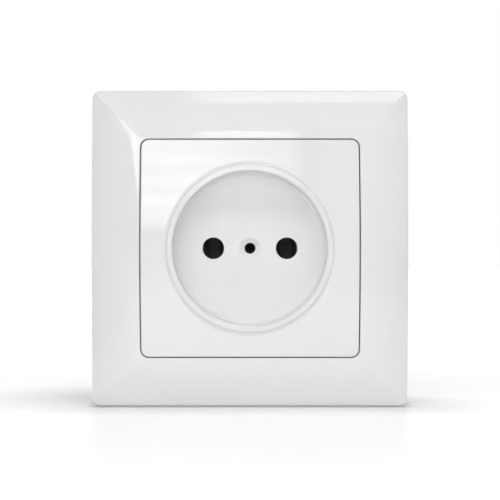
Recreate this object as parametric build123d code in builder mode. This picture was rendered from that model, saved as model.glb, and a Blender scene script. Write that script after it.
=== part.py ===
from build123d import *
import os
from math import asin, cos, degrees, radians, sin

# Unearthed wall socket: a square frame and a crowned centre cover with a round plug well,
# a steel mounting strap with two side claws, and the insulating base with its contacts behind.
#
# Sizes are in millimetres. The origin is the socket's centre on the wall plane.
# X runs to the right, Z up, and the room is on the -Y side. A height is measured from the wall
# towards the room, so a point at height h has y = -h, and one behind the wall has a negative height.

# Front surfaces
front_height = 10.5
crown_r = 340.0
edge_drop = 4.6

# Frame
frame_side = 81.2
frame_corner_r = 2.2
frame_wall = 1.8
frame_edge_round = 0.95
skirt_wall = 1.5
rib_wall = 1.2
rib_recess = 0.4
rib_spacing = 36.0

# Cover
cover_side = 55.2
cover_bow = 0.2
cover_corner_r = 1.9
cover_wall = 1.8
cover_gap = 0.3
cover_edge_round = 0.25
flange_reach = 1.3
flange_wall = 1.2
flange_height = 3.6

# Plug well in the cover
well_r = 19.75
well_depth = 10.5
well_wall = 1.35
floor_wall = 2.0
floor_round = 1.0
collar_rise = 1.0
collar_root = 1.1
collar_flank = 0.6
collar_fillet = 0.9
rim_round = 0.35
pin_spacing = 19.0
pin_hole_r = 2.81
centre_hole_r = 1.45
centre_sink_r = 2.85
centre_sink_angle = 100.0

# Snap hooks and stand-offs behind the cover
hook_x = 20.0
hook_z = 20.0
hook_width = 5.0
hook_wall = 1.6
hook_catch = 0.8
hook_tip = 1.5
hook_play = 0.3
standoff_x = 23.4

# Mounting strap
strap_margin = 3.3
strap_corner_r = 4.0
strap_t = 1.0
strap_rim = 2.5
strap_rim_length = 46.0
strap_play = 0.5
wall_slot_spacing = 60.0
wall_slot_r = 1.8
wall_slot_length = 6.6

# Insulating base and inner plate
inner_wall = 2.0
inner_r = 21.0
inner_margin = 0.5
access_play = 0.5
centre_screw_r = 1.7
base_r = 25.0
base_width = 41.0
base_depth = 22.0
base_back_round = 1.5
base_boss_r = 2.8
base_boss_length = 9.0
core_wall = 2.2
core_depth = 13.0
core_top = 15.5
core_bottom = 7.4
core_corner_r = 1.2
wire_bay_width = 13.0
wire_bay_height = 10.0
wire_bay_depth = 0.8
side_groove_width = 9.0
side_groove_depth = 1.4
pocket_width = 8.6
pocket_depth = 16.5
pocket_top = 5.2
pocket_bottom = -19.8
pocket_corner_r = 0.6
pin_clearance_r = 3.1
wire_hole_r = 1.7
wire_funnel_r = 2.5
wire_hole_z = -17.6

# Contacts and terminals
contact_t = 0.8
contact_width = 5.0
leaf_gap = 5.2
leaf_pinch = 3.8
leaf_mouth = 5.8
leaf_front = 5.0
lip_run = 2.6
pinch_run = 2.7
leaf_slope_run = 3.5
tail_width = 6.4
terminal_z = -12.0
spring_t = 0.5
spring_width = 2.0
clamp_side = 6.6
clamp_t = 1.2
clamp_lip = 1.4
terminal_screw_r = 1.75
terminal_screw_length = 4.8
terminal_head_r = 2.6
terminal_head = 2.2
terminal_play = 0.3
clamp_play = 0.2

# Centre nut
nut_width = 5.5
nut_t = 3.0
nut_bore_r = 1.25
nut_play = 0.1
nut_bore_play = 0.5
nut_bore_depth = 7.8

# Screws between strap and base
base_screw_x = 8.0
base_screw_z = 24.0
base_screw_r = 1.4
base_screw_play = 0.1
base_screw_length = 8.0
base_head_r = 2.4
base_head = 1.9

# Claws
claw_pivot_x = 27.8
claw_pivot_depth = 3.2
claw_width = 8.0
claw_t = 1.0
claw_eye_r = 1.8
claw_pin_r = 0.8
claw_running_gap = 0.06
claw_side_play = 0.4
claw_straight = 9.0
claw_lean = 2.2
claw_lean_run = 9.5
claw_tooth = 3.2
claw_tooth_run = 1.4
claw_tab_depth = 5.4
claw_tab_width = 4.4
claw_screw_x = 24.2
claw_screw_r = 1.4
claw_head_r = 2.5
claw_head = 2.0
lug_width = 4.0
lug_length = 5.4
lug_round = 1.6
screw_slot = 0.8
screw_slot_depth = 1.0

# Places that follow from the sizes above
window_side = cover_side + 2 * cover_gap
band_width = (frame_side - window_side) / 2
shoulder_r = (band_width**2 + edge_drop**2) / (2 * edge_drop)
strap_side = frame_side - 2 * (frame_wall + strap_margin)
rim_height = front_height + collar_rise
floor_height = rim_height - well_depth
floor_back = floor_height - floor_wall
well_outer_r = well_r + well_wall
skirt_foot = flange_height + flange_wall
inner_back = floor_back - inner_wall
base_back = inner_back - base_depth
pocket_floor = inner_back - pocket_depth
pin_x = pin_spacing / 2
web_face = pocket_floor + contact_t
clamp_face = web_face + clamp_t
strap_opening_r = well_outer_r + strap_play
front_zone = 1.5 * window_side**2 / (8 * crown_r)
standoff_height = strap_t
lug_inner_z = claw_width / 2 + claw_side_play
pinch_front = -inner_back + leaf_front + lip_run


def level(height):
    """Plane parallel to the wall at a height, facing the room, with its Y axis up."""
    return Plane.XZ.offset(height)


def bowed_square(side, bow, corner_r):
    """Square outline whose left and right sides bulge by the bow, with round corners."""
    side_arc_r = ((side / 2) ** 2 + bow**2) / (2 * bow)
    with BuildSketch() as outline:
        Rectangle(side + 2 * bow, side)
        for way in (-1, 1):
            with Locations((way * (side_arc_r - side / 2 - bow), 0)):
                Circle(side_arc_r, mode=Mode.INTERSECT)
        fillet(outline.vertices(), corner_r)
    return outline.sketch


def crowned_block(inset):
    """Everything between the wall and the front surfaces, each moved inwards by the inset.

    The roof is a wide cylinder about a level axis. Its four shoulders turn down tangent to it, the side
    ones carried round the same axis, so that they meet in mitres that fade towards the middle."""
    roof_r = crown_r - inset
    bend_r = shoulder_r - inset
    flat = window_side / 2
    axis_y = crown_r - front_height
    foot = shoulder_r + front_height
    swing = 2 * degrees(asin(frame_side / (2 * crown_r)))
    tilt = radians(swing)
    side_plane = Plane(origin=(0, axis_y, 0), x_dir=(1, 0, 0), z_dir=(0, sin(tilt), cos(tilt)))
    join = degrees(asin(flat / crown_r))
    bend_y = axis_y - (crown_r - shoulder_r) * cos(radians(join))
    bend_z = (crown_r - shoulder_r) * sin(radians(join))
    with BuildPart() as block:
        with BuildSketch(side_plane):
            with BuildLine():
                Line((-flat, -roof_r), (flat, -roof_r))
                right = CenterArc((flat, bend_r - roof_r), bend_r, -90, 90)
                left = CenterArc((-flat, bend_r - roof_r), bend_r, 180, 90)
                Polyline(
                    right @ 1,
                    (flat + bend_r, foot - roof_r),
                    (-flat - bend_r, foot - roof_r),
                    left @ 0,
                )
            make_face()
        revolve(axis=Axis((0, axis_y, 0), (1, 0, 0)), revolution_arc=2 * swing)
        with BuildSketch(Plane.YZ):
            with BuildLine():
                CenterArc((axis_y, 0), roof_r, 180 - join, 2 * join)
                upper = CenterArc((bend_y, bend_z), bend_r, 90, 90 - join)
                lower = CenterArc((bend_y, -bend_z), bend_r, 180 + join, 90 - join)
                Polyline(
                    upper @ 0,
                    (foot, bend_z + bend_r),
                    (foot, -bend_z - bend_r),
                    lower @ 1,
                )
            make_face()
        extrude(amount=frame_side, both=True, mode=Mode.INTERSECT)
        with BuildSketch(level(0)):
            RectangleRounded(frame_side - 2 * inset, frame_side - 2 * inset, frame_corner_r - inset / 2)
        extrude(amount=front_height, mode=Mode.INTERSECT)
    return block.part


def finish_piece(piece, name):
    """Name a piece and write it."""
    piece.label = name
    export_step(piece, f"parts/{name}.step")


os.makedirs("parts", exist_ok=True)


# Frame: a hollow moulding with a skirt round its window and short ribs behind its face
with BuildPart() as frame_stiffening:
    with BuildSketch(level(skirt_foot)):
        add(bowed_square(window_side + 2 * skirt_wall, cover_bow, cover_corner_r + skirt_wall))
    extrude(amount=front_height)
    with BuildSketch(level(skirt_foot + rib_recess)):
        with GridLocations(rib_spacing, 0, 2, 1):
            Rectangle(rib_wall, frame_side - frame_wall)
        with GridLocations(0, rib_spacing, 1, 2):
            Rectangle(frame_side - frame_wall, rib_wall)
    extrude(amount=front_height)
    add(crowned_block(frame_wall / 2), mode=Mode.INTERSECT)

with BuildPart() as frame:
    add(crowned_block(0))
    outer_edges = frame.edges().filter_by(
        lambda e: max(abs(e.center().X), abs(e.center().Z)) > frame_side / 2 - frame_corner_r
        and e.bounding_box().max.Y < -0.1
    )
    fillet(outer_edges, frame_edge_round)
    add(crowned_block(frame_wall), mode=Mode.SUBTRACT)
    add(frame_stiffening.part)
    with BuildSketch(level(0)):
        add(bowed_square(window_side, cover_bow, cover_corner_r + cover_gap))
    extrude(amount=2 * front_height, mode=Mode.SUBTRACT)
    window_edges = frame.edges().filter_by(
        lambda e: max(abs(e.center().X), abs(e.center().Z)) < window_side / 2 + 2 * cover_bow
        and e.center().Y < -front_height + front_zone
        and e.bounding_box().size.Y < front_zone
    )
    fillet(window_edges, cover_edge_round)
finish_piece(frame.part, "frame")


# Cover: crowned plate, side walls and flange, collar and plug well, hooks and stand-offs
with BuildPart() as cover_hollow:
    with BuildSketch(level(flange_height)):
        add(bowed_square(cover_side - 2 * cover_wall, cover_bow, cover_corner_r))
    extrude(amount=front_height)
    add(crowned_block(cover_wall), mode=Mode.INTERSECT)

with BuildPart() as cover_backs:
    for way_x in (-1, 1):
        standoff_run = cover_side / 2 - standoff_x - cover_wall / 2
        hook_back = way_x * (hook_x + hook_wall)
        for way_z in (-1, 1):
            with BuildSketch(level(standoff_height)):
                with Locations((way_x * (standoff_x + standoff_run / 2), way_z * hook_z)):
                    Rectangle(standoff_run, hook_width)
            extrude(amount=front_height - cover_wall - standoff_height)
            with BuildSketch(Plane.XY.offset(way_z * hook_z - hook_width / 2)):
                with BuildLine():
                    Polyline(
                        (way_x * hook_x, cover_wall - front_height),
                        (way_x * hook_x, hook_tip),
                        (hook_back, hook_tip),
                        (hook_back + way_x * hook_catch, hook_play / 2),
                        (hook_back, hook_play / 2),
                        (hook_back, cover_wall - front_height),
                        close=True,
                    )
                make_face()
            extrude(amount=hook_width)

with BuildPart() as cover:
    with BuildSketch(level(flange_height)):
        add(bowed_square(cover_side, cover_bow, cover_corner_r))
    extrude(amount=front_height)
    add(crowned_block(0), mode=Mode.INTERSECT)
    face_edges = cover.edges().filter_by(
        lambda e: e.center().Y < -front_height + front_zone and e.bounding_box().size.Y < front_zone
    )
    fillet(face_edges, cover_edge_round)
    add(cover_hollow.part, mode=Mode.SUBTRACT)
    with BuildSketch(level(flange_height)):
        add(bowed_square(cover_side + 2 * flange_reach, cover_bow, cover_corner_r))
        add(
            bowed_square(cover_side - 2 * cover_wall, cover_bow, cover_corner_r),
            mode=Mode.SUBTRACT,
        )
    extrude(amount=flange_wall)
    with BuildSketch(Plane.XY):
        with BuildLine():
            Polyline(
                (0, -floor_back),
                (well_outer_r, -floor_back),
                (well_outer_r, -front_height + 2 * cover_wall),
                (well_outer_r + collar_flank, -front_height + collar_root),
                (well_outer_r, -rim_height),
                (0, -rim_height),
                close=True,
            )
        make_face()
    revolve(axis=Axis.Y)
    with BuildSketch(level(floor_height)):
        Circle(well_r)
    extrude(amount=well_depth, mode=Mode.SUBTRACT)
    rim_edges = cover.edges().filter_by(GeomType.CIRCLE).filter_by(
        lambda e: abs(e.center().Y + rim_height) < 0.01
    )
    fillet(rim_edges, rim_round)
    collar_edges = cover.edges().filter_by(
        lambda e: e.bounding_box().size.Z > 2 * well_outer_r
        and e.bounding_box().size.Z < 2 * (well_outer_r + collar_flank) + 0.1
        and abs(e.center().Y + front_height) < collar_root
    )
    fillet(collar_edges, collar_fillet)
    floor_edges = cover.edges().filter_by(GeomType.CIRCLE).filter_by(
        lambda e: abs(e.center().Y + floor_height) < 0.01
    )
    fillet(floor_edges, floor_round)
    with Locations(level(floor_height)):
        with GridLocations(pin_spacing, 0, 2, 1):
            Hole(pin_hole_r, depth=floor_wall)
        CounterSinkHole(centre_hole_r, centre_sink_r, floor_wall, centre_sink_angle)
    add(cover_backs.part)
finish_piece(cover.part, "cover")


# Mounting strap: steel sheet with folded rims, wall slots and folded lugs for the claws
with BuildPart() as mounting_strap:
    with BuildSketch(level(0)):
        RectangleRounded(strap_side, strap_side, strap_corner_r)
        Circle(strap_opening_r, mode=Mode.SUBTRACT)
        with GridLocations(0, wall_slot_spacing, 1, 2):
            SlotOverall(wall_slot_length, 2 * wall_slot_r, rotation=90, mode=Mode.SUBTRACT)
        slot_run = hook_wall + hook_catch + 2 * hook_play
        with GridLocations(2 * hook_x + hook_wall + hook_catch, 2 * hook_z, 2, 2):
            Rectangle(slot_run, hook_width + 2 * hook_play, mode=Mode.SUBTRACT)
        with GridLocations(2 * claw_pivot_x, 2 * (lug_inner_z + strap_t + lug_length / 2), 2, 2):
            Rectangle(lug_width, lug_length, mode=Mode.SUBTRACT)
        with GridLocations(2 * claw_screw_x, 0, 2, 1):
            Circle(claw_screw_r, mode=Mode.SUBTRACT)
        with Locations((base_screw_x, base_screw_z), (-base_screw_x, -base_screw_z)):
            Circle(base_screw_r + base_screw_play, mode=Mode.SUBTRACT)
    extrude(amount=strap_t)
    with BuildSketch(level(0)):
        with GridLocations(strap_side - strap_t, 0, 2, 1):
            Rectangle(strap_t, strap_rim_length)
        with GridLocations(0, strap_side - strap_t, 1, 2):
            Rectangle(strap_rim_length, strap_t)
    extrude(amount=strap_t + strap_rim)
    with BuildSketch(level(0)):
        with GridLocations(2 * claw_pivot_x, 2 * lug_inner_z + strap_t, 2, 2):
            Rectangle(lug_width, strap_t)
    extrude(amount=-lug_length)
    lug_ends = mounting_strap.edges().filter_by(Axis.Z).filter_by(
        lambda e: abs(e.center().Y - lug_length) < 0.01
    )
    fillet(lug_ends, lug_round)
    with BuildSketch(Plane.XY):
        with Locations((-claw_pivot_x, claw_pivot_depth), (claw_pivot_x, claw_pivot_depth)):
            Circle(claw_pin_r)
    extrude(amount=claw_width, both=True, mode=Mode.SUBTRACT)
finish_piece(mounting_strap.part, "mounting_strap")


# Inner plate: closes the base over the contacts and the centre nut
with BuildPart() as inner_plate:
    with BuildSketch(level(inner_back)):
        Circle(inner_r)
        Rectangle(base_width - 2 * inner_margin, 2 * inner_r, mode=Mode.INTERSECT)
        with GridLocations(pin_spacing, 0, 2, 1):
            Circle(pin_clearance_r, mode=Mode.SUBTRACT)
        with Locations((-pin_x, terminal_z), (pin_x, terminal_z)):
            Circle(terminal_head_r + access_play, mode=Mode.SUBTRACT)
        Circle(centre_screw_r, mode=Mode.SUBTRACT)
    extrude(amount=inner_wall)
finish_piece(inner_plate.part, "inner_plate")


# Base: moulded body with a pocket for each contact and its terminal
with BuildPart() as base:
    with BuildSketch(level(base_back)):
        Circle(base_r)
        Rectangle(base_width, 2 * base_r, mode=Mode.INTERSECT)
    extrude(amount=base_depth)
    fillet(base.edges().group_by(Axis.Y)[-1], base_back_round)
    with BuildSketch(level(-base_boss_length)):
        with Locations((base_screw_x, base_screw_z), (-base_screw_x, -base_screw_z)):
            Circle(base_boss_r)
    extrude(amount=base_boss_length)
    pocket_height = pocket_top - pocket_bottom
    with BuildSketch(level(pocket_floor)) as pockets:
        with Locations((-pin_x, pocket_top - pocket_height / 2), (pin_x, pocket_top - pocket_height / 2)):
            Rectangle(pocket_width, pocket_height)
        fillet(pockets.vertices(), pocket_corner_r)
    extrude(amount=pocket_depth, mode=Mode.SUBTRACT)
    core_width = base_width / 2 - 2 * core_wall
    with BuildSketch(level(base_back)) as cores:
        with GridLocations(core_width + core_wall, 0, 2, 1):
            with Locations((0, (core_top + core_bottom) / 2)):
                Rectangle(core_width, core_top - core_bottom)
        fillet(cores.vertices(), core_corner_r)
    extrude(amount=core_depth, mode=Mode.SUBTRACT)
    with BuildSketch(level(base_back)) as bays:
        with Locations((-pin_x, wire_hole_z + core_wall), (pin_x, wire_hole_z + core_wall)):
            Rectangle(wire_bay_width, wire_bay_height)
        fillet(bays.vertices(), core_corner_r)
    extrude(amount=wire_bay_depth, mode=Mode.SUBTRACT)
    with BuildSketch(level(base_back)):
        with GridLocations(base_width, 0, 2, 1):
            Rectangle(2 * side_groove_depth, side_groove_width)
    extrude(amount=base_depth - core_wall, mode=Mode.SUBTRACT)
    with Locations(Plane.XZ.offset(base_back + wire_bay_depth).rotated((180, 0, 0))):
        with Locations((-pin_x, -wire_hole_z), (pin_x, -wire_hole_z)):
            CounterSinkHole(wire_hole_r, wire_funnel_r, base_depth, centre_sink_angle)
    with BuildSketch(level(pocket_floor)):
        with Locations((-pin_x, terminal_z), (pin_x, terminal_z)):
            Circle(terminal_screw_r + terminal_play)
    extrude(amount=contact_t + clamp_t - terminal_screw_length - terminal_play, mode=Mode.SUBTRACT)
    with BuildSketch(level(inner_back - nut_t)):
        RegularPolygon(nut_width / 2 + nut_play, 6, major_radius=False)
    extrude(amount=nut_t, mode=Mode.SUBTRACT)
    with BuildSketch(level(inner_back - nut_t)):
        Circle(nut_bore_r + nut_bore_play)
    extrude(amount=-nut_bore_depth, mode=Mode.SUBTRACT)
    with BuildSketch(level(strap_t - base_screw_length)):
        with Locations((base_screw_x, base_screw_z), (-base_screw_x, -base_screw_z)):
            Circle(base_screw_r)
    extrude(amount=base_screw_length, mode=Mode.SUBTRACT)
finish_piece(base.part, "base")


# Centre nut: takes the screw that the cover's middle hole is made for
with BuildPart() as centre_nut:
    with BuildSketch(level(inner_back - nut_t)):
        RegularPolygon(nut_width / 2, 6, major_radius=False)
        Circle(nut_bore_r, mode=Mode.SUBTRACT)
    extrude(amount=nut_t)
finish_piece(centre_nut.part, "centre_nut")


# Screws that hold the base to the strap
with BuildPart() as base_screws:
    screw_places = ((base_screw_x, base_screw_z), (-base_screw_x, -base_screw_z))
    with BuildSketch(level(strap_t)):
        with Locations(screw_places):
            Circle(base_head_r)
    extrude(amount=base_head)
    fillet(base_screws.edges().group_by(Axis.Y)[0], base_head / 3)
    with BuildSketch(level(strap_t - base_screw_length)):
        with Locations(screw_places):
            Circle(base_screw_r)
    extrude(amount=base_screw_length)
    with BuildSketch(level(strap_t + base_head - screw_slot_depth)):
        with Locations(screw_places):
            Rectangle(screw_slot, 3 * base_head_r)
    extrude(amount=base_head, mode=Mode.SUBTRACT)
finish_piece(base_screws.part, "base_screws")


# Claw screws: threaded through the strap, each pushing the tab of its claw
with BuildPart() as claw_screws:
    with BuildSketch(level(strap_t)):
        with GridLocations(2 * claw_screw_x, 0, 2, 1):
            Circle(claw_head_r)
    extrude(amount=claw_head)
    fillet(claw_screws.edges().group_by(Axis.Y)[0], claw_head / 3)
    with BuildSketch(level(claw_running_gap - claw_tab_depth)):
        with GridLocations(2 * claw_screw_x, 0, 2, 1):
            Circle(claw_screw_r)
    extrude(amount=claw_tab_depth + strap_t - claw_running_gap)
    with BuildSketch(level(strap_t + claw_head - screw_slot_depth)):
        with GridLocations(2 * claw_screw_x, 0, 2, 1):
            Rectangle(screw_slot, 3 * claw_head_r)
    extrude(amount=claw_head, mode=Mode.SUBTRACT)
finish_piece(claw_screws.part, "claw_screws")


# Pieces that come in a left and a right copy
for hand, way in (("left", -1), ("right", 1)):
    # Contact: a folded strip whose two leaves grip the pin, with a flat tail to the terminal
    leaf_outline = (
        (leaf_mouth / 2, -inner_back + leaf_front),
        (leaf_pinch / 2, pinch_front),
        (leaf_pinch / 2, pinch_front + pinch_run),
        (leaf_gap / 2, pinch_front + pinch_run + leaf_slope_run),
        (leaf_gap / 2, -pocket_floor - contact_t / 2),
    )
    with BuildPart() as contact:
        with BuildSketch(Plane.XY):
            with BuildLine():
                Polyline(
                    *[(way * pin_x + x, y) for x, y in leaf_outline],
                    *[(way * pin_x - x, y) for x, y in reversed(leaf_outline)],
                )
                offset(amount=contact_t / 2)
            make_face()
        extrude(amount=contact_width / 2, both=True)
        tail_end = terminal_z - tail_width / 2
        with BuildSketch(level(pocket_floor)):
            with Locations((way * pin_x, tail_end / 2)):
                Rectangle(tail_width, -tail_end)
            with Locations((way * pin_x, terminal_z)):
                Circle(terminal_screw_r, mode=Mode.SUBTRACT)
        extrude(amount=contact_t)
    finish_piece(contact.part, f"contact_{hand}")

    # Spring clip: presses the two leaves together
    clip_inner = leaf_pinch / 2 + contact_t / 2
    clip_outer = clip_inner + spring_t
    clip_top = contact_width / 2
    with BuildPart() as contact_spring:
        with BuildSketch(level(-pinch_front - (pinch_run + spring_width) / 2)):
            with Locations((way * pin_x, spring_t / 2)):
                Rectangle(2 * clip_outer, 2 * clip_top + spring_t)
            with Locations((way * pin_x, -spring_t)):
                Rectangle(2 * clip_inner, 2 * clip_top + 2 * spring_t, mode=Mode.SUBTRACT)
        extrude(amount=spring_width)
    finish_piece(contact_spring.part, f"contact_spring_{hand}")

    # Terminal clamp: a small saddle that the screw presses on the wire and the contact's tail
    with BuildPart() as terminal_clamp:
        with BuildSketch(level(web_face)):
            with Locations((way * pin_x, terminal_z)):
                Rectangle(clamp_side, clamp_side)
                Circle(terminal_screw_r + clamp_play, mode=Mode.SUBTRACT)
        extrude(amount=clamp_t)
        with BuildSketch(level(clamp_face)):
            with Locations((way * pin_x, terminal_z + clamp_side / 2 - spring_t / 2)):
                Rectangle(clamp_side, spring_t)
        extrude(amount=clamp_lip)
    finish_piece(terminal_clamp.part, f"terminal_clamp_{hand}")

    # Terminal screw
    with BuildPart() as terminal_screw:
        with BuildSketch(level(clamp_face)):
            with Locations((way * pin_x, terminal_z)):
                Circle(terminal_head_r)
        extrude(amount=terminal_head)
        fillet(terminal_screw.edges().group_by(Axis.Y)[0], terminal_head / 3)
        with BuildSketch(level(clamp_face)):
            with Locations((way * pin_x, terminal_z)):
                Circle(terminal_screw_r)
        extrude(amount=-terminal_screw_length)
        with BuildSketch(level(clamp_face + terminal_head - screw_slot_depth)):
            with Locations((way * pin_x, terminal_z)):
                Rectangle(3 * terminal_head_r, screw_slot)
        extrude(amount=terminal_head, mode=Mode.SUBTRACT)
    finish_piece(terminal_screw.part, f"terminal_screw_{hand}")

    # Claw: steel strip with a rolled eye, a tab lanced inwards for the screw, and a toothed end
    pivot = (way * claw_pivot_x, claw_pivot_depth)
    elbow_y = claw_pivot_depth + claw_straight
    tip = (way * (claw_pivot_x - claw_lean), elbow_y + claw_lean_run)
    tab_end_x = claw_screw_x - claw_screw_r
    tab_run = claw_pivot_x - tab_end_x
    with BuildPart() as claw:
        with BuildSketch(Plane.XY):
            with BuildLine():
                Polyline(
                    pivot,
                    (pivot[0], elbow_y),
                    tip,
                    (tip[0] + way * claw_tooth, tip[1] + claw_tooth_run),
                )
                offset(amount=claw_t / 2)
            make_face()
            with Locations(pivot):
                Circle(claw_eye_r)
        extrude(amount=claw_width / 2, both=True)
        with BuildSketch(Plane.YZ.offset(way * claw_pivot_x)):
            with Locations((claw_tab_depth + claw_t + tab_run / 2, 0)):
                Rectangle(tab_run, claw_tab_width)
        extrude(amount=claw_t, both=True, mode=Mode.SUBTRACT)
        with BuildSketch(level(-claw_tab_depth)):
            with Locations((way * (claw_pivot_x - tab_run / 2), 0)):
                Rectangle(tab_run, claw_tab_width)
        extrude(amount=-claw_t)
        with BuildSketch(Plane.YZ.offset(way * (claw_pivot_x - claw_lean))):
            with Locations((tip[1] + claw_tooth_run, 0)):
                RegularPolygon(claw_width / 4, 4)
        extrude(amount=way * (claw_tooth + claw_t), mode=Mode.SUBTRACT)
        with BuildSketch(Plane.XY):
            with Locations(pivot):
                Circle(claw_pin_r + claw_running_gap)
        extrude(amount=claw_width, both=True, mode=Mode.SUBTRACT)
    finish_piece(claw.part, f"claw_{hand}")

    # Claw pin: fixed in the strap's lugs
    with BuildPart() as claw_pin:
        with BuildSketch(Plane.XY):
            with Locations(pivot):
                Circle(claw_pin_r)
        extrude(amount=lug_inner_z + strap_t + claw_side_play, both=True)
    finish_piece(claw_pin.part, f"claw_pin_{hand}")
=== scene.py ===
"""Looks of an unearthed wall socket: polished white front, dark insulating base and plated metal parts."""

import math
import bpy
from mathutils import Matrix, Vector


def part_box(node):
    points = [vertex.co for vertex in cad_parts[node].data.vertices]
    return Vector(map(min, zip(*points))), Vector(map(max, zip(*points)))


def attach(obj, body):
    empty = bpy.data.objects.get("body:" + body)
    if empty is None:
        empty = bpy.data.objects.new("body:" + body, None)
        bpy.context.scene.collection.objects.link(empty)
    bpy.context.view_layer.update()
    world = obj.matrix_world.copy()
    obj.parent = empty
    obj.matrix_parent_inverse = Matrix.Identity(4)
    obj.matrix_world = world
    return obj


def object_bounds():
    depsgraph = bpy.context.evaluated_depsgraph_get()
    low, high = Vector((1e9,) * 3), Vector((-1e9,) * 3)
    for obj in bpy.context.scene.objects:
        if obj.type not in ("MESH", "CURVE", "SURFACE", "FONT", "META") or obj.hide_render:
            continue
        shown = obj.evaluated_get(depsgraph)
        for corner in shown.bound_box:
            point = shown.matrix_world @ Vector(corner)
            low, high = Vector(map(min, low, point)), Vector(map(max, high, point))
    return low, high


bl_info = {
    "name": "Wall socket finishes",
    "version": (1, 0, 0),
    "blender": (4, 5, 0),
    "location": "3D View > Sidebar > Socket",
    "description": "Finishes the packed wall socket's pieces and sets it on a plain lit floor",
    "category": "Object",
}

import bpy
import numpy as np
from bpy.props import FloatProperty, FloatVectorProperty, PointerProperty
from bpy.types import Operator, Panel, PropertyGroup
from mathutils import Vector

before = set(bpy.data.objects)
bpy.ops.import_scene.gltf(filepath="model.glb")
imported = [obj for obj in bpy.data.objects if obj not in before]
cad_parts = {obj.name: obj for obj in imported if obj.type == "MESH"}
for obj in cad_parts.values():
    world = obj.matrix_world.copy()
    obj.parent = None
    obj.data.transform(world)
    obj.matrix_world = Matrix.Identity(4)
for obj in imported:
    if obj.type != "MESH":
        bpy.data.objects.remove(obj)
CAD_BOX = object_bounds()
MM = 0.001
WHITE = (1.0, 1.0, 1.0, 1.0)
SPOT_RANGE = (0.3, 0.7)  # nearly all values of a pattern of spots lie here

# Points on a screw thread: columns round it, and rows along each turn
THREAD_COLUMNS = 40
THREAD_ROWS = 10

# Floor, in metres. A pair is where a change starts and where it ends.
FLOOR_HALF = 3.0
FLOOR_WHITENS = (0.1, 0.9)  # from the socket's middle, for the camera
FOOT_HALF = (0.038, 0.005)  # half sizes of the frame's foot along X and Y
FOOT_SHADE = (0.0, 0.024)  # from the foot: painted shadow in front of the frame, where the camera's added white fades in
PAINTED_FOOT_SHADOW = (0.0015, 0.0045)  # from the foot: a thin dark line for the camera, painted contact shadow
PAINTED_FOOT_SHADOW_TONE = 0.4  # the floor's colour in that painted shadow line, as a share
# Painted shadow on the floor: around this centre, behind the socket at the left, the camera's added white is
# held back
BACK_SHADE_CENTRE = (-0.035, 0.02)
BACK_SHADE = (0.01, 0.045)  # from that centre

# The floor's painted brightness in reflections, seen only by reflected rays: at the frame's foot, further on
# and far away. It is dimmer at the foot and to the left as painted shade.
MIRRORED_FOOT = 0.3
MIRRORED_FLOOR = 0.95
MIRRORED_FAR = 0.1
MIRROR_FROM_FOOT = (0.0, 0.025)
MIRROR_FROM_LEFT = (-0.2, -0.05)  # along X
MIRROR_TO_FAR = (0.34, 0.38)  # from the socket's middle

# Window, in metres: its outline across and up, and where its brightness changes
WINDOW_Y = -1.0
WINDOW_OUTLINE = (
    (0.06, 0.03),
    (0.06, 0.53),
    (-0.045, 0.53),
    (-0.05, 0.31),
    (-0.93, 0.46),
    (-0.93, 0.38),
    (-0.62, 0.32),
    (-0.382, 0.279),
    (-0.257, 0.187),
    (-0.171, 0.114),
    (-0.129, 0.03),
)
WINDOW_FOOT = (0.03, 0.075)
WINDOW_SIDE = (0.03, 0.055)
CURTAIN_SIDE = (-0.04, 0.01)
CURTAIN_TOP = (0.26, 0.32)
CURTAIN_TONE = 0.6
BLIND_PITCH = 0.05
BLIND_TONE = 0.7

# Directions in the room, each along one axis of a unit vector
ROOM_LEFT = (-0.14, -0.06)
ROOM_UPPER = (0.45, 0.55)
ROOM_CEILING = (0.957, 0.967)
ROOM_CEILING_SIDE = (-0.045, -0.025)
ROOM_BEHIND = (0.05, 0.15)
ROOM_HALVES = (-0.1, 0.1)

# The room's brightness in reflections
LEFT_GLOSS = 0.4
RIGHT_GLOSS = 1.25
UPPER_GLOSS = 1.5
CEILING_GLOSS = 3.7
BEHIND_GLOSS = 1.0

# Each softbox: its place, width and height in metres
SOFTBOXES = {
    "front": ((0.0, -1.2, 0.1), 0.8, 0.6),
    "left": ((-0.55, -1.0, 0.5), 0.7, 0.7),
    "right": ((0.7, -1.0, 0.4), 0.7, 0.7),
    "top": ((0.0, -0.9, 1.0), 0.9, 0.7),
    "high": ((0.3, -0.1, 1.3), 1.0, 0.8),
}

CAMERA_SENSOR = 36.0
CAMERA_Z = -0.45 * MM


def linear(code):
    """An sRGB hex colour as linear red, green, blue and alpha."""
    parts = np.array([int(code[i : i + 2], 16) for i in (1, 3, 5)]) / 255
    curve = np.where(parts <= 0.04045, parts / 12.92, ((parts + 0.055) / 1.055) ** 2.4)
    return (*(float(c) for c in curve), 1.0)


def darker(tone, share):
    """A colour whose brightness is a share of the tone's."""
    return (*(c * share for c in tone[:3]), 1.0)


def colour(label, words, code):
    """A colour that the user can change."""
    return FloatVectorProperty(
        name=label, description=words, subtype="COLOR", size=4, min=0.0, max=1.0, default=linear(code)
    )


def length(label, words, millimetres):
    """A length that the user can change, held in metres."""
    size = millimetres * MM
    return FloatProperty(
        name=label, description=words, subtype="DISTANCE", unit="LENGTH", precision=5, default=size
    )


def amount(label, words, value, **limits):
    """A brightness, power, share or focal length that the user can change."""
    return FloatProperty(name=label, description=words, default=value, min=0.0, **limits)


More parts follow.
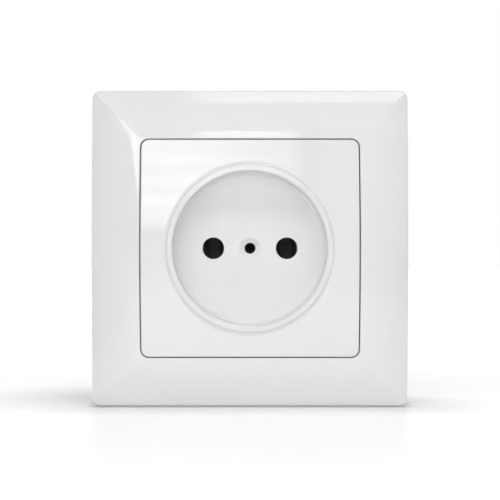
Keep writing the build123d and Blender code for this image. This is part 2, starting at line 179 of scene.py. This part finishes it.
class SocketFinishes(PropertyGroup):
    """Colours and gloss of the socket's pieces."""

    front_white: colour("Front white", "Colour of the frame's and the cover's plastic", "#f1f1f1")
    front_roughness: amount("Front roughness", "Roughness of the polished front plastic", 0.045, max=1.0)
    base_grey: colour("Base grey", "Colour of the insulating base and inner plate", "#3a3e42")
    zinc: colour("Zinc", "Colour of the zinc plating on the strap, claws and screws", "#bfc2c4")
    # The nut's brass is dull, and darker than that: partly its own tone, partly painted shade for the dark
    # centre hole it sits in
    brass: colour("Brass", "Colour of the turned brass nut, dulled by heat and air", "#63594a")
    tin: colour("Tin", "Colour of the matt tin plating on the contacts", "#a2a8ae")
    spring: colour("Spring steel", "Colour of the oiled spring clips", "#4c4e52")


class SocketThreads(PropertyGroup):
    """Sizes of the claw screws' threads."""

    crest: length("Crest", "Radius over a thread's crest", 1.5)
    pitch: length("Pitch", "Distance between two turns of a thread", 0.5)
    depth: length("Depth", "Height of a thread's crest over its root", 0.22)


class SocketStage(PropertyGroup):
    """The floor, the lamps and the camera."""

    floor: colour("Floor", "Colour of the floor", "#f4f4f4")
    floor_lift: amount("Floor lift", "White added to the floor near the socket for the camera", 0.25)
    # The floor's glow on matt surfaces is painted light from below; the floor is no lamp
    floor_glow: amount("Floor glow", "Light that the floor's lit board gives from below", 0.08)
    room_front: amount("Room in front", "Light of the room's near half on matt surfaces", 0.18)
    room_back: amount("Room behind", "Light of the room's far half on matt surfaces", 0.54)
    window: amount("Window", "Brightness of the window that the polished front mirrors", 5.7)
    front_power: amount("Front lamp", "Power of the softbox behind the camera", 0.78, unit="POWER")
    left_power: amount("Left lamp", "Power of the softbox at the left of the camera", 0.84, unit="POWER")
    right_power: amount("Right lamp", "Power of the softbox at the right of the camera", 0.9, unit="POWER")
    top_power: amount("Top lamp", "Power of the softbox above the camera", 4.5, unit="POWER")
    high_power: amount("High lamp", "Power of the softbox overhead", 1.66, unit="POWER")
    distance: length("Camera distance", "From the camera to the wall plane", 430.0)
    focal: amount("Focal length", "Camera's focal length", 119.16, unit="CAMERA")


def add(tree, kind, *values, named=(), **settings):
    """The outputs of a new shader node with its settings.

    The values go to its first sockets in order, and the named ones to the sockets of those names. A value
    that is another node's output is linked."""
    made = tree.nodes.new("ShaderNode" + kind)
    for name, value in settings.items():
        setattr(made, name, value)
    for key, value in (*enumerate(values), *dict(named).items()):
        if isinstance(value, bpy.types.NodeSocket):
            tree.links.new(value, made.inputs[key])
        else:
            made.inputs[key].default_value = value
    return made.outputs


def finish(name, fill):
    """A new material whose nodes fill makes: it takes the tree and returns the surface's shader."""
    material = bpy.data.materials.new(name)
    material.use_nodes = True
    tree = material.node_tree
    tree.nodes.clear()
    add(tree, "OutputMaterial", fill(tree))
    return material


def spots(tree, size, stretch=(1, 1, 1), detail=2.0, roughness=0.5):
    """A pattern of soft spots about size metres across, drawn out along an axis by stretch."""
    scale = tuple(1 / (size * along) for along in stretch)
    where = {"Vector": add(tree, "TexCoord")["Object"], "Scale": scale}
    place = add(tree, "Mapping", named=where)["Vector"]
    look = {"Vector": place, "Scale": 1.0, "Detail": detail, "Roughness": roughness}
    return add(tree, "TexNoise", named=look)["Fac"]


def clouded(tree, pattern, tone, share):
    """A colour that the pattern takes between a tone and the same tone made darker."""
    mixed = {
        "Factor": add(tree, "MapRange", pattern, *SPOT_RANGE, 0.0, 1.0)[0],
        "A": tone,
        "B": darker(tone, share),
    }
    return add(tree, "Mix", named=mixed, data_type="RGBA")["Result"]


def by_ray(tree, otherwise, choices):
    """A value that each kind of ray in choices has for itself, and all other rays share."""
    rays = add(tree, "LightPath")
    for ray, value in choices.items():
        otherwise = add(tree, "MapRange", rays[ray], 0.0, 1.0, otherwise, value)[0]
    return otherwise


def polished_plastic(tone, roughness):
    """White thermoplastic, injection moulded against polished steel.

    It gives the eye broad clean highlights with slightly soft edges, a barely seen waviness where the melt
    flowed, and a faint haze of uneven gloss."""
    flow_size, haze_size, wave_height = 14 * MM, 0.9 * MM, 0.006 * MM

    def fill(tree):
        flow = spots(tree, flow_size, detail=1.0)
        haze = spots(tree, haze_size, detail=3.0)
        wave = {"Height": flow, "Distance": wave_height, "Strength": 1.0}
        look = {
            "Base Color": clouded(tree, flow, tone, share=0.985),
            "Roughness": add(tree, "MapRange", haze, *SPOT_RANGE, roughness * 0.9, roughness * 1.15)[0],
            "IOR": 1.5,
            "Normal": add(tree, "Bump", named=wave)["Normal"],
        }
        return add(tree, "BsdfPrincipled", named=look)[0]

    return fill


def eroded_plastic(tone):
    """Dark glass-filled insulating plastic, moulded in a spark eroded tool.

    It gives the eye a fine even grain, satin highlights and faint paler flow marks."""
    grain_size, flow_size, pit_depth = 0.25 * MM, 9 * MM, 0.02 * MM

    def fill(tree):
        grain = spots(tree, grain_size)
        flow = spots(tree, flow_size, stretch=(1, 1, 2.5), detail=3.0)
        pits = {"Height": grain, "Distance": pit_depth, "Strength": 0.6}
        look = {
            "Base Color": clouded(tree, flow, tone, share=0.7),
            "Roughness": add(tree, "MapRange", grain, *SPOT_RANGE, 0.42, 0.55)[0],
            "IOR": 1.53,
            "Normal": add(tree, "Bump", named=pits)["Normal"],
        }
        return add(tree, "BsdfPrincipled", named=look)[0]

    return fill


def rolled_metal(tone, smooth, rough, streak, share=0.82):
    """Rolled or drawn metal, plated or bare.

    It gives the eye long fine streaks along the rolling direction, and cloudy changes of gloss and tone."""
    line_size, cloud_size, ridge_height = 0.16 * MM, 5 * MM, 0.004 * MM

    def fill(tree):
        lines = spots(tree, line_size, stretch=streak, detail=3.0, roughness=0.6)
        clouds = spots(tree, cloud_size, detail=3.0, roughness=0.6)
        ridges = {"Height": lines, "Distance": ridge_height, "Strength": 0.7}
        look = {
            "Base Color": clouded(tree, clouds, tone, share),
            "Metallic": 1.0,
            "Roughness": add(tree, "MapRange", lines, *SPOT_RANGE, smooth, rough)[0],
            "Normal": add(tree, "Bump", named=ridges)["Normal"],
        }
        return add(tree, "BsdfPrincipled", named=look)[0]

    return fill


def dress(material, *nodes):
    """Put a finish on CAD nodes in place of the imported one."""
    for node in nodes:
        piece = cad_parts[node]
        for held in piece.material_slots:
            held.material = material


def surface(name, points, body, material):
    """A closed mesh from a grid of points: rows along the piece, columns round it, a flat face at each end.

    Each other face joins a point, the next one in its row and the two beside them in the next row. The last
    column joins the first."""
    rows, columns = points.shape[:2]
    index = np.arange(rows * columns).reshape(rows, columns)
    beside = np.roll(index, -1, axis=1)
    quads = np.stack([index[:-1], beside[:-1], beside[1:], index[1:]], axis=-1).reshape(-1, 4)
    faces = [*quads.tolist(), index[0, ::-1].tolist(), index[-1].tolist()]
    mesh = bpy.data.meshes.new(name)
    mesh.from_pydata(points.reshape(-1, 3), [], faces)
    mesh.validate()
    mesh.materials.append(material)
    mesh.shade_smooth()
    piece = bpy.data.objects.new(name, mesh)
    bpy.context.scene.collection.objects.link(piece)
    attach(piece, body)
    return piece


def thread(x, end, crest, pitch, depth):
    """A screw thread at x, from the wall plane along Y to its end, as a grid of points.

    The radius at an angle and a distance along the screw is the crest less the depth times a triangle wave
    of the distance over the pitch less the angle's share of a turn, and it sinks to the root over half a
    pitch at both ends."""
    angle = np.linspace(0, 2 * np.pi, THREAD_COLUMNS, endpoint=False)
    along = np.arange(0.0, end, pitch / THREAD_ROWS)
    turn = along[:, None] / pitch - angle[None, :] / (2 * np.pi)
    wave = np.abs(2 * (turn - np.floor(turn)) - 1)
    fade = np.clip(np.minimum(along, end - along) / (pitch / 2), 0, 1)[:, None]
    radius = crest - depth * (1 - fade * (1 - wave))
    rows = np.broadcast_to(along[:, None], radius.shape)
    return np.stack([x + radius * np.cos(angle), rows, -radius * np.sin(angle)], axis=-1)


class SOCKET_OT_front(Operator):
    """Finish the frame and the cover in polished white plastic"""

    bl_idname = "socket.front"
    bl_label = "Frame and cover"

    def execute(self, context):
        looks = context.scene.socket_finishes
        for node in ("frame", "cover"):
            gloss = polished_plastic(looks.front_white, looks.front_roughness)
            dress(finish(f"{node}_polished_white_plastic", gloss), node)
        return {"FINISHED"}


class SOCKET_OT_insulation(Operator):
    """Finish the base and the inner plate in grained dark plastic"""

    bl_idname = "socket.insulation"
    bl_label = "Base and inner plate"

    def execute(self, context):
        grey = context.scene.socket_finishes.base_grey
        dress(finish("base_spark_eroded_grey_plastic", eroded_plastic(grey)), "base", "inner_plate")
        return {"FINISHED"}


class SOCKET_OT_contacts(Operator):
    """Finish the contacts, their springs and the centre nut"""

    bl_idname = "socket.contacts"
    bl_label = "Contacts, springs and nut"

    def execute(self, context):
        looks = context.scene.socket_finishes
        # Matt tin scatters the little light in the pockets. Turned brass has rings. Oil darkens the springs.
        tin = rolled_metal(looks.tin, smooth=0.62, rough=0.78, streak=(14, 14, 1))
        brass = rolled_metal(looks.brass, smooth=0.18, rough=0.32, streak=(1, 14, 1))
        steel = rolled_metal(looks.spring, smooth=0.22, rough=0.4, streak=(14, 1, 1), share=0.7)
        dress(finish("contact_matt_tin_plating", tin), "contact_left", "contact_right")
        dress(finish("nut_turned_brass", brass), "centre_nut")
        dress(finish("spring_oiled_steel", steel), "contact_spring_left", "contact_spring_right")
        return {"FINISHED"}


class SOCKET_OT_steelwork(Operator):
    """Finish the strap, claws, pins and clamps in bright zinc"""

    bl_idname = "socket.steelwork"
    bl_label = "Strap, claws and clamps"

    def execute(self, context):
        zinc = context.scene.socket_finishes.zinc
        # One bright plating on sheet, strip and wire, each with the streaks of its rolling or drawing
        sheet = rolled_metal(zinc, smooth=0.26, rough=0.42, streak=(16, 16, 1))
        strip = rolled_metal(zinc, smooth=0.24, rough=0.38, streak=(1, 16, 1))
        wire = rolled_metal(zinc, smooth=0.2, rough=0.34, streak=(1, 1, 16))
        claws = ("claw_left", "claw_right")
        clamps = ("terminal_clamp_left", "terminal_clamp_right")
        dress(finish("strap_zinc_plated_sheet", sheet), "mounting_strap")
        dress(finish("claw_zinc_plated_strip", strip), *claws, *clamps)
        dress(finish("pin_zinc_plated_wire", wire), "claw_pin_left", "claw_pin_right")
        return {"FINISHED"}


class SOCKET_OT_screws(Operator):
    """Finish the screws and cut the threads that show behind the strap"""

    bl_idname = "socket.screws"
    bl_label = "Screws and threads"

    def execute(self, context):
        looks, sizes = context.scene.socket_finishes, context.scene.socket_threads
        steel = rolled_metal(looks.zinc, smooth=0.2, rough=0.36, streak=(1, 10, 1))
        turned = finish("screw_zinc_plated_steel", steel)
        dress(turned, "claw_screws", "base_screws", "terminal_screw_left", "terminal_screw_right")
        low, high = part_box("claw_screws")
        head_radius = (high.z - low.z) / 2
        for hand, way in (("left", -1), ("right", 1)):
            x = way * (high.x - head_radius)
            points = thread(x, high.y, sizes.crest, sizes.pitch, sizes.depth)
            surface(f"claw_screw_thread_{hand}", points, "socket", turned)
        return {"FINISHED"}


class SOCKET_OT_stage(Operator):
    """Set the floor, the soft lamps, the white surroundings and the camera"""

    bl_idname = "socket.stage"
    bl_label = "Stage"

    def execute(self, context):
        stage = context.scene.socket_stage
        self.floor(stage)
        self.room(context.scene, stage)
        self.window(stage)
        for side, (place, width, height) in SOFTBOXES.items():
            self.lamp(f"{side}_softbox", place, width, height, getattr(stage, f"{side}_power"))
        camera = bpy.data.objects.new("camera", bpy.data.cameras.new("camera"))
        camera.data.sensor_width = CAMERA_SENSOR
        camera.data.lens = stage.focal
        camera.location = (0.0, -stage.distance, CAMERA_Z)
        camera.rotation_euler = (math.pi / 2, 0.0, 0.0)
        context.scene.collection.objects.link(camera)
        context.scene.camera = camera
        context.scene.view_settings.view_transform = "Standard"
        return {"FINISHED"}

    def floor(self, stage):
        """White lit board: matt with a weak sheen. For the camera and in reflections it gets whiter away
        from the socket, so that it ends in the white room without a line. Near the socket that white is held
        back as painted shadow: in front of the frame's foot and, deeper, behind the socket at the left. In
        reflections it dims at the foot and to the left, as painted shade. For the camera a thin dark line
        where the frame meets it is a painted contact shadow. On matt surfaces the board glows a little from
        below, a painted light."""
        z = CAD_BOX[0].z

        def fill(tree):
            place = add(tree, "TexCoord")["Object"]
            away = add(tree, "VectorMath", place, operation="LENGTH")["Value"]
            foot = add(tree, "VectorMath", place, operation="ABSOLUTE")["Vector"]
            foot = add(tree, "VectorMath", foot, (*FOOT_HALF, -z), operation="SUBTRACT")["Vector"]
            foot = add(tree, "VectorMath", foot, (0, 0, 0), operation="MAXIMUM")["Vector"]
            foot = add(tree, "VectorMath", foot, operation="LENGTH")["Value"]
            # The camera's added white is held back in front of the frame's foot and behind the socket at the
            # left: painted shadow on the floor
            centre = (*BACK_SHADE_CENTRE, z)
            behind = add(tree, "VectorMath", place, centre, operation="DISTANCE")["Value"]
            behind = add(tree, "MapRange", behind, *BACK_SHADE, 0.0, stage.floor_lift)[0]
            near = add(tree, "MapRange", foot, *FOOT_SHADE, 0.0, stage.floor_lift)[0]
            near = add(tree, "Math", behind, near, operation="MINIMUM")[0]
            seen = add(tree, "MapRange", away, *FLOOR_WHITENS, near, 1.0)[0]
            across = add(tree, "SeparateXYZ", place)["X"]
            # In reflections the floor is dimmer at the frame's foot and to the left: painted shade in what
            # the socket's front mirrors
            mirrored = add(tree, "MapRange", foot, *MIRROR_FROM_FOOT, MIRRORED_FOOT, MIRRORED_FLOOR)[0]
            mirrored = add(tree, "MapRange", across, *MIRROR_FROM_LEFT, 0.0, mirrored)[0]
            mirrored = add(tree, "MapRange", away, *MIRROR_TO_FAR, mirrored, MIRRORED_FAR)[0]
            choices = {
                "Is Camera Ray": seen,
                "Is Transmission Ray": seen,
                "Is Glossy Ray": mirrored,
                # Matt surfaces see the floor glow: painted light from below
                "Is Diffuse Ray": stage.floor_glow,
            }
            light = add(tree, "Emission", WHITE, by_ray(tree, 0.0, choices))[0]
            # For the camera only, a thin dark line at the frame's foot: painted contact shadow in the
            # floor's colour
            line = add(tree, "MapRange", foot, *PAINTED_FOOT_SHADOW, 1.0, 0.0)[0]
            line = {
                "Factor": by_ray(tree, 0.0, {"Is Camera Ray": line}),
                "A": stage.floor,
                "B": darker(stage.floor, PAINTED_FOOT_SHADOW_TONE),
            }
            look = {
                "Base Color": add(tree, "Mix", named=line, data_type="RGBA")["Result"],
                "Roughness": add(tree, "MapRange", spots(tree, 2 * MM), *SPOT_RANGE, 0.3, 0.36)[0],
                "IOR": 1.45,
            }
            return add(tree, "AddShader", add(tree, "BsdfPrincipled", named=look)[0], light)[0]

        corners = ((-1, -1), (1, -1), (1, 1), (-1, 1))
        self.card("floor", [(x * FLOOR_HALF, y * FLOOR_HALF, z) for x, y in corners], fill)

    def window(self, stage):
        """The window that shows in the polished front: a tall pane and a wing that runs far to the left. It
        is soft at its foot and at its right side, dimmer behind a curtain at the lower right, and crossed by
        blinds, whose shade is a sine of the height."""

        def fill(tree):
            axes = add(tree, "SeparateXYZ", add(tree, "TexCoord")["Object"])
            above = add(tree, "MapRange", axes["Z"], *CURTAIN_TOP, CURTAIN_TONE, 1.0)[0]
            turn = add(tree, "Math", axes["Z"], 2 * math.pi / BLIND_PITCH, operation="MULTIPLY")[0]
            wave = add(tree, "Math", turn, operation="SINE")[0]
            shares = (
                add(tree, "MapRange", axes["Z"], *WINDOW_FOOT, 0.0, 1.0)[0],
                add(tree, "MapRange", axes["X"], *WINDOW_SIDE, 1.0, 0.0)[0],
                add(tree, "MapRange", axes["X"], *CURTAIN_SIDE, 1.0, above)[0],
                add(tree, "MapRange", wave, -1.0, 1.0, BLIND_TONE, 1.0)[0],
            )
            strength = stage.window
            for share in shares:
                strength = add(tree, "Math", strength, share, operation="MULTIPLY")[0]
            return add(tree, "Emission", WHITE, strength)[0]

        outline = [(x, WINDOW_Y, z) for x, z in WINDOW_OUTLINE]
        self.card("window", outline, fill).visible_shadow = False

    def card(self, name, corners, fill):
        """A flat piece of the stage."""
        mesh = bpy.data.meshes.new(name)
        mesh.from_pydata(corners, [], [tuple(range(len(corners)))])
        mesh.materials.append(finish(name, fill))
        piece = bpy.data.objects.new(name, mesh)
        bpy.context.scene.collection.objects.link(piece)
        return piece

    def room(self, scene, stage):
        """A white room: white to the camera, and in reflections dimmer at the left and brighter overhead.
        On matt surfaces its far half gives more light than its near half, where the lamps are."""
        world = bpy.data.worlds.new("white_room")
        scene.world = world
        world.use_nodes = True
        tree = world.node_tree
        tree.nodes.clear()
        axes = add(tree, "SeparateXYZ", add(tree, "TexCoord")["Generated"])
        walls = add(tree, "MapRange", axes["X"], *ROOM_LEFT, LEFT_GLOSS, RIGHT_GLOSS)[0]
        upper = add(tree, "MapRange", axes["Z"], *ROOM_UPPER, walls, UPPER_GLOSS)[0]
        ceiling = add(tree, "MapRange", axes["X"], *ROOM_CEILING_SIDE, upper, CEILING_GLOSS)[0]
        mirrored = add(tree, "MapRange", axes["Z"], *ROOM_CEILING, upper, ceiling)[0]
        mirrored = add(tree, "MapRange", axes["Y"], *ROOM_BEHIND, mirrored, BEHIND_GLOSS)[0]
        matt = add(tree, "MapRange", axes["Y"], *ROOM_HALVES, stage.room_front, stage.room_back)[0]
        choices = {"Is Camera Ray": 1.0, "Is Transmission Ray": 1.0, "Is Glossy Ray": mirrored}
        glow = add(tree, "Background", WHITE, by_ray(tree, matt, choices))[0]
        add(tree, "OutputWorld", glow)

    def lamp(self, name, place, width, height, power):
        """A rectangular softbox that faces the socket and doesn't show in reflections: there the window and
        the room show."""
        light = bpy.data.lights.new(name, "AREA")
        light.shape = "RECTANGLE"
        light.size, light.size_y = width, height
        light.energy = power
        lamp = bpy.data.objects.new(name, light)
        lamp.location = place
        lamp.rotation_euler = (-Vector(place)).to_track_quat("-Z", "Y").to_euler()
        lamp.visible_glossy = False
        bpy.context.scene.collection.objects.link(lamp)


class SOCKET_PT_pieces(Panel):
    """The socket's finishes and stage"""

    bl_idname = "SOCKET_PT_pieces"
    bl_label = "Wall socket"
    bl_space_type = "VIEW_3D"
    bl_region_type = "UI"
    bl_category = "Socket"

    def draw(self, context):
        column = self.layout.column()
        for group in GROUPS:
            held = getattr(context.scene, group)
            for name in held.__annotations__:
                column.prop(held, name)
        for operator in OPERATORS:
            column.operator(operator.bl_idname)


OPERATORS = (
    SOCKET_OT_front,
    SOCKET_OT_insulation,
    SOCKET_OT_contacts,
    SOCKET_OT_steelwork,
    SOCKET_OT_screws,
    SOCKET_OT_stage,
)
GROUPS = {"socket_finishes": SocketFinishes, "socket_threads": SocketThreads, "socket_stage": SocketStage}


def register():
    """Add the property groups, the operators and the panel."""
    for name, group in GROUPS.items():
        bpy.utils.register_class(group)
        setattr(bpy.types.Scene, name, PointerProperty(type=group))
    for operator in OPERATORS:
        bpy.utils.register_class(operator)
    bpy.utils.register_class(SOCKET_PT_pieces)


def unregister():
    """Take them out again."""
    bpy.utils.unregister_class(SOCKET_PT_pieces)
    for operator in reversed(OPERATORS):
        bpy.utils.unregister_class(operator)
    for name, group in GROUPS.items():
        delattr(bpy.types.Scene, name)
        bpy.utils.unregister_class(group)


def main():
    """Run each operator in turn."""
    register()
    bpy.ops.socket.front()
    bpy.ops.socket.insulation()
    bpy.ops.socket.contacts()
    bpy.ops.socket.steelwork()
    bpy.ops.socket.screws()
    bpy.ops.socket.stage()


if __name__ == "__main__":
    main()
